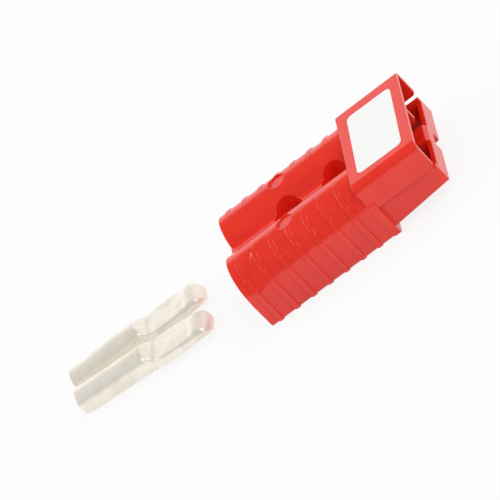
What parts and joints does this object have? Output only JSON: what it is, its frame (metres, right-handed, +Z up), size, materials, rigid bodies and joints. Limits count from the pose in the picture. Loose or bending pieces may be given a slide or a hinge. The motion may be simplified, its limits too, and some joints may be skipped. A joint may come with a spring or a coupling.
{
  "type": "genderless power connector",
  "caption": "Genderless power connector: ribbed red housing with hood and tongue, flat springs inside, and loose crimp contacts for high-current cable.",
  "frame": {"origin": "on the flat underside of the housing, midway along its length and across its width", "axes": "+Y out of the mating end, +X towards the right-hand pole seen from the cable end, +Z up towards the label face"},
  "size_m": [0.0722, 0.2203, 0.0336],
  "materials": {
    "housing_plastic": "glossy moulded red, faintly mottled",
    "label_white": "smooth white film",
    "spring_steel": "rolled stainless strip",
    "contact_silver": "silver plate, satin, slightly warm"
  },
  "bodies": {
    "root": {"housing": "housing_plastic", "label": "label_white", "spring_left": "spring_steel", "spring_right": "spring_steel", "contact_left": "contact_silver", "contact_right": "contact_silver"}
  },
  "joints": []
}
